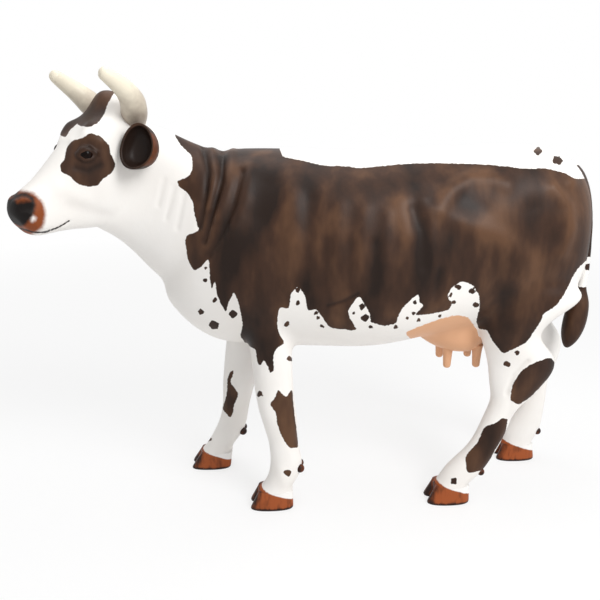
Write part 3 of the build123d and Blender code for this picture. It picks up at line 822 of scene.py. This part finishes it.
def hoof_paint(settings):
    """Brushed orange-brown paint, darker in streaks; painted shade darkens it towards the ground, in the cleft and
    down the front of the toe, and the dewclaws are darker all over.
    """
    material = plain("brushed_brown_enamel", "#8a4a28", 0.35)
    tree = material.node_tree
    shader = tree.nodes["Principled BSDF"]
    place = add_node(tree, "ShaderNodeTexCoord").outputs["Object"]
    stretched = add_node(tree, "ShaderNodeMapping", {"Vector": place, "Scale": (1.0, 1.0, 0.3)}).outputs["Vector"]
    grain = add_node(tree, "ShaderNodeTexNoise", {"Vector": stretched, "Scale": cells(18), "Detail": 4.0})
    # edge is painted shade on the hooves, and the dewclaws' own darker horn
    edge = add_node(tree, "ShaderNodeAttribute", attribute_name="edge").outputs["Fac"]
    grain_shade_and_dark_horn = add_node(
        tree, "ShaderNodeMath", {0: edge, 1: -0.6, 2: grain.outputs["Fac"]}, operation="MULTIPLY_ADD"
    ).outputs[0]
    ramp = add_node(tree, "ShaderNodeValToRGB", {"Fac": grain_shade_and_dark_horn})
    ramp.color_ramp.elements[0].position, ramp.color_ramp.elements[0].color = 0.05, linear("#2a150c")
    ramp.color_ramp.elements[1].position, ramp.color_ramp.elements[1].color = 0.5, settings.hoof
    hair = add_node(tree, "ShaderNodeAttribute", attribute_name="hair").outputs["Fac"]
    line = add_node(
        tree, "ShaderNodeMath", {0: grain.outputs["Fac"], 1: 6.0, 2: hair}, operation="MULTIPLY_ADD"
    ).outputs[0]
    edges = {"Value": line, "From Min": 1.0, "From Max": 5.0}
    mask = add_node(tree, "ShaderNodeMapRange", edges).outputs["Result"]
    colour = add_node(
        tree,
        "ShaderNodeMix",
        {"Factor": mask, "A": ramp.outputs["Color"], "B": settings.white},
        data_type="RGBA",
    ).outputs["Result"]
    tree.links.new(colour, shader.inputs["Base Color"])
    return material


def plain(name, hex_colour, roughness, metallic=0.0):
    """A material in one colour, to which the finishes add their patterns."""
    material = bpy.data.materials.new(name)
    material.use_nodes = True
    shader = material.node_tree.nodes["Principled BSDF"]
    shader.inputs["Base Color"].default_value = linear(hex_colour)
    shader.inputs["Roughness"].default_value = roughness
    shader.inputs["Metallic"].default_value = metallic
    shader.inputs["Specular IOR Level"].default_value = 0.2
    return material


def looked_at(tree):
    """One for rays of the camera, a reflection or glass, and nought for the light of the room."""
    rays = add_node(tree, "ShaderNodeLightPath").outputs
    either = add_node(
        tree, "ShaderNodeMath", {0: rays["Is Camera Ray"], 1: rays["Is Glossy Ray"]}, operation="MAXIMUM"
    ).outputs[0]
    return add_node(
        tree, "ShaderNodeMath", {0: either, 1: rays["Is Transmission Ray"]}, operation="MAXIMUM"
    ).outputs[0]


def studio_floor():
    """Matt white floor that goes over into the white background and still takes the figure's shadow."""
    material = plain("studio_floor_paint", "#f4f4f4", 0.9)
    tree = material.node_tree
    shader = tree.nodes["Principled BSDF"]
    glow = add_node(tree, "ShaderNodeEmission", {"Color": WHITE, "Strength": 1.0})
    place = add_node(tree, "ShaderNodeTexCoord").outputs["Object"]
    far = add_node(tree, "ShaderNodeVectorMath", {0: place}, operation="LENGTH").outputs["Value"]
    fade = add_node(
        tree,
        "ShaderNodeMapRange",
        {
            "Value": far,
            "From Min": FLOOR_FADE_FROM,
            "From Max": FLOOR_FADE_TO,
            "To Min": FLOOR_WHITE_NEAR,
            "To Max": FLOOR_WHITE_FAR,
        },
    ).outputs["Result"]
    share = add_node(tree, "ShaderNodeMath", {0: looked_at(tree), 1: fade}, operation="MULTIPLY").outputs[0]
    mix = add_node(tree, "ShaderNodeMixShader", {0: share, 1: shader.outputs[0], 2: glow.outputs[0]})
    tree.links.new(mix.outputs[0], tree.nodes["Material Output"].inputs["Surface"])
    return material


def paint_colour(name, description, default):
    """A colour that a user can change, from its sRGB hex value."""
    return bpy.props.FloatVectorProperty(
        name=name, description=description, default=linear(default), size=4, min=0, max=1, subtype="COLOR"
    )


class CowPaint(bpy.types.PropertyGroup):
    """Colours and sizes of the painted figure."""

    white: paint_colour("White", "White of the coat", "#f3f1ee")
    white_shade: paint_colour("White shade", "Its duller places", "#e9e4de")
    # Painted shade: the colour the white coat takes in folds and hollows
    white_in_painted_shade: paint_colour("White hollow", "Grey in its folds", "#bdb6b0")
    brown: paint_colour("Brown", "Brown of the coat", "#3a261b")
    brown_dark: paint_colour("Dark brown", "Its darkest strokes", "#20140e")
    brown_light: paint_colour("Light brown", "Its lightest strokes", "#5c402d")
    flesh: paint_colour("Flesh", "Udder and teats", "#dba883")
    rust: paint_colour("Rust", "Sprayed halo around the nose", "#84431f")
    nose: paint_colour("Nose", "Wet black of the nose", "#100a08")
    horn: paint_colour("Horn", "Ivory of the horns", "#e8dfcb")
    hoof: paint_colour("Hoof", "Orange-brown of the hooves", "#9c5028")
    voxel: bpy.props.FloatProperty(
        name="Skin fineness",
        description="Spacing of the skin's mesh",
        default=0.006,
        subtype="DISTANCE",
        unit="LENGTH",
    )
    relief: bpy.props.FloatProperty(
        name="Relief",
        description="Depth of folds and bones, as a share",
        default=1.0,
        min=0,
        max=2,
        subtype="FACTOR",
    )
    horn_girth: bpy.props.FloatProperty(
        name="Horn girth",
        description="Thickness of the horns, as a share",
        default=1.0,
        min=0.5,
        max=1.5,
        subtype="FACTOR",
    )
    claw_gap: bpy.props.FloatProperty(
        name="Claw gap",
        description="Width of the cleft in a hoof",
        default=0.003,
        subtype="DISTANCE",
        unit="LENGTH",
    )


class COW_OT_skin(bpy.types.Operator):
    """Makes the painted mouldings of the trunk, neck, head, legs, udder and tail"""

    bl_idname = "cow.skin"
    bl_label = "Painted skin"

    def execute(self, context):
        settings = context.scene.cow_paint
        voxel = settings.voxel * 1.0
        skin = Skin(remeshed_skin(voxel))
        gaps = node_distances(skin.points, [*SKIN_GROUPS, *CUT_AWAY])
        names = list(gaps)
        table = np.stack([gaps[name] for name in names])
        nearest = table.argmin(0)
        groups = sorted(set(SKIN_GROUPS.values()))
        members = [[gaps[name] for name in SKIN_GROUPS if SKIN_GROUPS[name] == group] for group in groups]
        by_group = np.stack([np.min(near, 0) for near in members])
        second = np.sort(by_group, 0)[1]
        everywhere = np.ones(len(skin.points))
        border = skin.points[:, 2] < HOOF_TOP + 1e-4
        everywhere[border] = 0
        skin.smooth(everywhere, 4)
        joint = 1 - smoothstep(0.0, JOINT_REACH, second)
        joint[border] = 0
        skin.smooth(joint, JOINT_ROUNDS)
        owner = np.array([SKIN_GROUPS.get(name, "cut") for name in names])[nearest]
        along = to_head(skin.points)[:, 0]
        skin.smooth(smoothstep(0.42, 0.5, along) * (owner == "head"), SNOUT_ROUNDS)
        shade = model_relief(skin, owner, settings.relief)
        skin.smooth(everywhere * (owner != "head"), 1)
        throat = np.maximum(by_group[groups.index("head")], by_group[groups.index("neck")])
        meeting = 1 - smoothstep(0.0, THROAT_REACH, throat)
        skin.smooth(meeting, THROAT_ROUNDS)
        shade *= 1 - meeting
        layers = paint_layers(skin.points, owner) | {"shade": shade}
        normals = skin.normals()
        material = painted_skin(settings)
        face_owner = nearest[np.array([face[0] for face in skin.faces])]
        for number, name in enumerate(names):
            if name in CUT_AWAY:
                continue
            chosen = [skin.faces[i] for i in np.flatnonzero(face_owner == number)]
            used = np.unique(np.concatenate([np.array(face) for face in chosen]))
            place = {old: new for new, old in enumerate(used)}
            make_piece(
                f"{name}_skin",
                skin.points[used],
                [tuple(place[i] for i in face) for face in chosen],
                material,
                (name,),
                {key: values[used] for key, values in layers.items()},
                normals[used],
            )
        return {"FINISHED"}


def curve_rows(rows, per_span=6):
    """Rows of numbers with smooth steps put in between (a Catmull-Rom curve through the rows)."""
    rows = np.array(rows, float)
    padded = np.vstack((2 * rows[0] - rows[1], rows, 2 * rows[-1] - rows[-2]))
    steps = []
    for place in range(1, len(padded) - 2):
        a, b, c, d = padded[place - 1 : place + 3]
        for share in np.arange(per_span) / per_span:
            steps.append(
                0.5
                * (
                    2 * b
                    + (c - a) * share
                    + (2 * a - 5 * b + 4 * c - d) * share**2
                    + (3 * b - a - 3 * c + d) * share**3
                )
            )
    steps.append(rows[-1])
    return np.array(steps)


def lofted(rings):
    """Points and faces of a closed body through rings of equally many points."""
    sides = len(rings[0])
    points = [tuple(point) for ring in rings for point in ring]
    faces = []
    for row in range(len(rings) - 1):
        for step in range(sides):
            after = (step + 1) % sides
            faces.append(
                (row * sides + step, row * sides + after, (row + 1) * sides + after, (row + 1) * sides + step)
            )
    for row, order in ((0, -1), (len(rings) - 1, 1)):
        points.append(tuple(np.mean(rings[row], 0)))
        for step in range(sides):
            pair = (row * sides + step, row * sides + (step + 1) % sides)
            faces.append((*pair[::order], len(points) - 1))
    return points, faces


def add_body(points, faces, rings):
    """Adds the body through some rings to lists of points and faces."""
    more, more_faces = lofted(rings)
    faces += [tuple(i + len(points) for i in face) for face in more_faces]
    points += more


def round_rings(centres, radii, sides=40):
    """Circles square to a line of points."""
    rings = []
    guide = np.array((0.31, 0.87, 0.38))
    for place, (centre, radius) in enumerate(zip(centres, radii)):
        axis = centres[min(place + 1, len(centres) - 1)] - centres[max(place - 1, 0)]
        axis /= np.linalg.norm(axis)
        side = np.cross(axis, guide)
        side /= np.linalg.norm(side)
        up = np.cross(axis, side)
        turn = np.arange(sides) * 2 * math.pi / sides
        rings.append(centre + radius * (np.cos(turn)[:, None] * side + np.sin(turn)[:, None] * up))
    return rings


class COW_OT_horns(bpy.types.Operator):
    """Makes the pair of cast horns with their growth rings"""

    bl_idname = "cow.horns"
    bl_label = "Horns"

    def execute(self, context):
        settings = context.scene.cow_paint
        material = horn_paint(settings)
        rows = curve_rows(HORN_ROWS, 12)
        span = np.linspace(0, 1, len(rows))
        swell = 1 + 0.006 * np.sin(span * 55) * (1 - smoothstep(0.1, 0.6, span))
        for side, sign in SIDES.items():
            line = from_head(rows[:, :3] * (1, sign, 1))
            points, faces = lofted(round_rings(line, rows[:, 3] * swell * settings.horn_girth))
            share = np.append(np.repeat(span, 40), (0, 1))
            masks = {"tip": share}
            make_piece(f"horn_{side}_cast", points, faces, material, (f"horn_{side}",), masks)
        return {"FINISHED"}


class COW_OT_ears(bpy.types.Operator):
    """Makes the pair of cupped ears"""

    bl_idname = "cow.ears"
    bl_label = "Ears"

    def execute(self, context):
        material = bpy.data.materials["painted_glass_fibre"]
        outside = curve_rows(EAR_OUTSIDE, 6)
        inside = curve_rows(EAR_INSIDE, 6)
        rows = np.vstack((outside, inside))
        facing, root_way = np.array(EAR_FACING), np.array((0.0, 1.0, 0.0))
        turn = np.arange(48) * 2 * math.pi / 48
        outer_flank = smoothstep(0.1, 0.8, -np.sin(turn))
        for side, sign in SIDES.items():
            rings, dark, rusty = [], [], []
            for place, (along, left, out, tall, wide) in enumerate(rows):
                share = float(smoothstep(0, 0.7 * len(outside), place))
                axis = root_way * (1 - share) + facing * share
                axis /= np.linalg.norm(axis)
                high = np.array(EAR_UP) - axis * (axis @ np.array(EAR_UP))
                high /= np.linalg.norm(high)
                wave = 1 + 0.04 * np.sin(3 * turn + 0.6) * share
                ring = np.array((along, left, out)) + (wave * np.cos(turn))[:, None] * high * tall
                ring = ring + (wave * np.sin(turn))[:, None] * np.cross(axis, high) * wide
                rings.append(from_head(ring * (1, sign, 1)))
                dark += [1.5 if place > len(outside) else 0.4] * len(turn)
                rim = place > len(outside) - 4
                rusty += [UNPAINTED] * len(turn) if rim else list(40.0 - 39.0 * share * outer_flank)
            points, faces = lofted(rings)
            if sign < 0:
                faces = [face[::-1] for face in faces]
            count = len(points)
            paint = {key: [UNPAINTED] * count for key in PAINTS}
            paint |= {"coat": [PAINTED] * count, "shade": dark + [0.0, 1.5], "rust": rusty + [UNPAINTED] * 2}
            make_piece(f"ear_{side}_cup", points, faces, material, (f"ear_{side}",), paint)
        return {"FINISHED"}


class COW_OT_eyes(bpy.types.Operator):
    """Makes the pair of glossy eyeballs"""

    bl_idname = "cow.eyes"
    bl_label = "Eyes"

    def execute(self, context):
        material = mottled("lacquered_acrylic", ("#080403", "#1c0f0a"), 17, 0.14)
        material.node_tree.nodes["Principled BSDF"].inputs["Specular IOR Level"].default_value = 0.08
        for side, sign in SIDES.items():
            centre = eye_centre(sign)
            out = head_axes()[1] * sign
            turns = np.linspace(0.05, math.pi - 0.05, 24)
            line = [centre - out * EYE_RADIUS * math.cos(t) for t in turns]
            points, faces = lofted(round_rings(line, [EYE_RADIUS * math.sin(t) for t in turns], 32))
            make_piece(f"eye_{side}_ball", points, faces, material, (f"eye_{side}",))
        return {"FINISHED"}


def egg_ring(x, y, z, half_x, half_y, power=2.3, sides=44):
    """A level superellipse."""
    turn = np.arange(sides) * 2 * math.pi / sides
    across = np.sign(np.cos(turn)) * np.abs(np.cos(turn)) ** (2 / power)
    aside = np.sign(np.sin(turn)) * np.abs(np.sin(turn)) ** (2 / power)
    return np.stack((x + half_x * across, y + half_y * aside, np.full(sides, z)), 1)


class COW_OT_feet(bpy.types.Operator):
    """Makes the cloven hooves and the dewclaws"""

    bl_idname = "cow.feet"
    bl_label = "Hooves and dewclaws"

    def execute(self, context):
        settings = context.scene.cow_paint
        material = hoof_paint(settings)
        rows = curve_rows(HOOF_ROWS, 5)
        for leg in LEGS:
            low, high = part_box(f"hoof_{leg}")
            y = (low.y + high.y) / 2
            x_sole = (low.x + high.x) / 2
            x_top = next(m["pos_m"][0] for m in frame["record"]["mounts"] if m["name"] == f"anchor_{leg}")
            points, faces = [], []
            for sign in (-1, 1):
                rings = []
                for share, half_x, half_y in rows:
                    x = x_sole + (x_top - x_sole) * share
                    half = half_y / 2 - settings.claw_gap / 2
                    aside = y + sign * (half + settings.claw_gap / 2)
                    rings.append(egg_ring(x, aside, SOLE_CLEARANCE + share * HOOF_TOP, half_x, half))
                add_body(points, faces, rings)
            core = [
                egg_ring(x_sole + (x_top - x_sole) * share, y, share * HOOF_TOP, half_x, half_y)
                for share, half_x, half_y in HOOF_CORE
            ]
            add_body(points, faces, core)
            place = np.array(points)
            toe = place[:, 0].min()
            # Painted shade on the hoof: in the cleft near the toe, down the front of the toe and along the sole
            # near the ground
            cleft = smoothstep(0.012, 0.003, np.abs(place[:, 1] - y))
            inner = cleft * smoothstep(0.06, 0.02, place[:, 0] - toe)
            front = toe + (x_top - x_sole) * place[:, 2] / HOOF_TOP
            tip = 0.7 * smoothstep(0.034, 0.008, place[:, 0] - front)
            sole = smoothstep(0.016, 0.004, place[:, 2])
            masks = {"hair": above_hair_line(place, toe), "edge": np.maximum.reduce((sole, inner, tip))}
            make_piece(f"hoof_{leg}_claws", points, faces, material, (f"hoof_{leg}",), masks)
            low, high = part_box(f"dewclaws_{leg}")
            points, faces = [], []
            radius = (high.z - low.z) / 2
            for y in (low.y + radius, high.y - radius):
                centre = np.array((high.x - radius, y, (low.z + high.z) / 2))
                turns = np.linspace(0.05, math.pi - 0.05, 16)
                line = [centre + np.array((0.15, 0, -1)) * -radius * math.cos(t) for t in turns]
                add_body(points, faces, round_rings(line, [radius * math.sin(t) for t in turns], 24))
            masks = {"hair": [-UNPAINTED] * len(points), "edge": [0.7] * len(points)}
            make_piece(f"dewclaws_{leg}_horn", points, faces, material, (f"dewclaws_{leg}",), masks)
        return {"FINISHED"}


class COW_OT_teats(bpy.types.Operator):
    """Makes the four teats"""

    bl_idname = "cow.teats"
    bl_label = "Teats"

    def execute(self, context):
        low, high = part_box("teats")
        material = bpy.data.materials["painted_glass_fibre"]
        rows = curve_rows(TEAT_ROWS, 5)
        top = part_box("udder_shell")[0].z + TEAT_SUNK
        points, faces = [], []
        for x in (low.x + TEAT_INSET, high.x - TEAT_INSET):
            for y in (low.y + TEAT_INSET, high.y - TEAT_INSET):
                line = [np.array((x, y, top + (low.z - top) * share)) for share in rows[:, 0]]
                add_body(points, faces, round_rings(line, rows[:, 1], 28))
        count = len(points)
        paint = {key: [UNPAINTED] * count for key in PAINTS}
        paint |= {"flesh": [PAINTED] * count, "shade": [0.0] * count}
        make_piece("teats_cast", points, faces, material, ("teats",), paint)
        return {"FINISHED"}


class COW_OT_inside(bpy.types.Operator):
    """Gives the frame and the fittings inside the skin their finish"""

    bl_idname = "cow.inside"
    bl_label = "Frame and fittings"

    def execute(self, context):
        finishes = {
            "frame_steel": mottled("primed_steel", ("#5c2e22", "#7a4434"), 25, 0.6),
            "zinc_steel": mottled("zinc_plated_steel", ("#9da2a6", "#c3c7ca"), 8, 0.35, metallic=1.0),
            "plywood": mottled("birch_plywood", ("#a67c4c", "#c9a06c"), 40, 0.7, stretch=(1.0, 1.0, 0.06)),
            "raw_laminate": mottled("raw_glass_laminate", ("#a39d78", "#c8c39c"), 7, 0.45),
        }
        for part in frame["record"]["subparts"]:
            finish = finishes.get(part["material_slot"])
            if finish:
                node = frame["nodes"][part["node"]]
                if node.material_slots:
                    for holder in node.material_slots:
                        holder.material = finish
                else:
                    node.data.materials.append(finish)
        return {"FINISHED"}


class COW_OT_stage(bpy.types.Operator):
    """Sets the floor, the light and the camera"""

    bl_idname = "cow.stage"
    bl_label = "Stage"

    def execute(self, context):
        scene = context.scene
        scene.view_settings.view_transform = "Standard"
        mesh = bpy.data.meshes.new("floor")
        corners = [(FLOOR_REACH * x, FLOOR_REACH * y, 0) for x, y in ((-1, -1), (1, -1), (1, 1), (-1, 1))]
        mesh.from_pydata(corners, [], [(0, 1, 2, 3)])
        floor = bpy.data.objects.new("floor", mesh)
        scene.collection.objects.link(floor)
        mesh.materials.append(studio_floor())
        world = bpy.data.worlds.new("studio")
        scene.world = world
        world.use_nodes = True
        tree = world.node_tree
        tree.nodes.clear()
        soft = add_node(tree, "ShaderNodeBackground", {"Color": WHITE, "Strength": ROOM_LIGHT})
        seen = add_node(tree, "ShaderNodeBackground", {"Color": WHITE, "Strength": 1.0})
        mix = add_node(tree, "ShaderNodeMixShader", {0: looked_at(tree), 1: soft.outputs[0], 2: seen.outputs[0]})
        add_node(tree, "ShaderNodeOutputWorld", {"Surface": mix.outputs[0]})
        for name, place, size, power in LAMPS:
            lamp = bpy.data.lights.new(name, "AREA")
            lamp.size = size
            lamp.energy = power
            light = bpy.data.objects.new(name, lamp)
            light.location = place
            light.rotation_euler = (Vector(LAMPS_AIM) - light.location).to_track_quat("-Z", "Y").to_euler()
            scene.collection.objects.link(light)
        camera = bpy.data.cameras.new("photo_view")
        camera.sensor_width = SENSOR
        camera.lens = PHOTO_FOCAL / PHOTO_SIDE * SENSOR
        view = bpy.data.objects.new("photo_view", camera)
        view.location = EYE_POINT
        view.rotation_euler = Euler((math.pi / 2 - VIEW_PITCH, 0, -VIEW_YAW))
        scene.collection.objects.link(view)
        scene.camera = view
        return {"FINISHED"}


class COW_PT_panel(bpy.types.Panel):
    """Lists the steps that make the figure"""

    bl_label = "Cow"
    bl_idname = "COW_PT_panel"
    bl_space_type = "VIEW_3D"
    bl_region_type = "UI"
    bl_category = "Cow"

    def draw(self, context):
        for operator in OPERATORS:
            self.layout.operator(operator.bl_idname)


OPERATORS = (
    COW_OT_skin,
    COW_OT_horns,
    COW_OT_ears,
    COW_OT_eyes,
    COW_OT_feet,
    COW_OT_teats,
    COW_OT_inside,
    COW_OT_stage,
)
CLASSES = (CowPaint, *OPERATORS, COW_PT_panel)


def register():
    for entry in CLASSES:
        bpy.utils.register_class(entry)
    bpy.types.Scene.cow_paint = bpy.props.PointerProperty(type=CowPaint)


def unregister():
    del bpy.types.Scene.cow_paint
    for entry in reversed(CLASSES):
        bpy.utils.unregister_class(entry)


def main():
    register()
    bpy.ops.cow.skin()
    bpy.ops.cow.horns()
    bpy.ops.cow.ears()
    bpy.ops.cow.eyes()
    bpy.ops.cow.feet()
    bpy.ops.cow.teats()
    bpy.ops.cow.inside()
    bpy.ops.cow.stage()


if __name__ == "__main__":
    main()
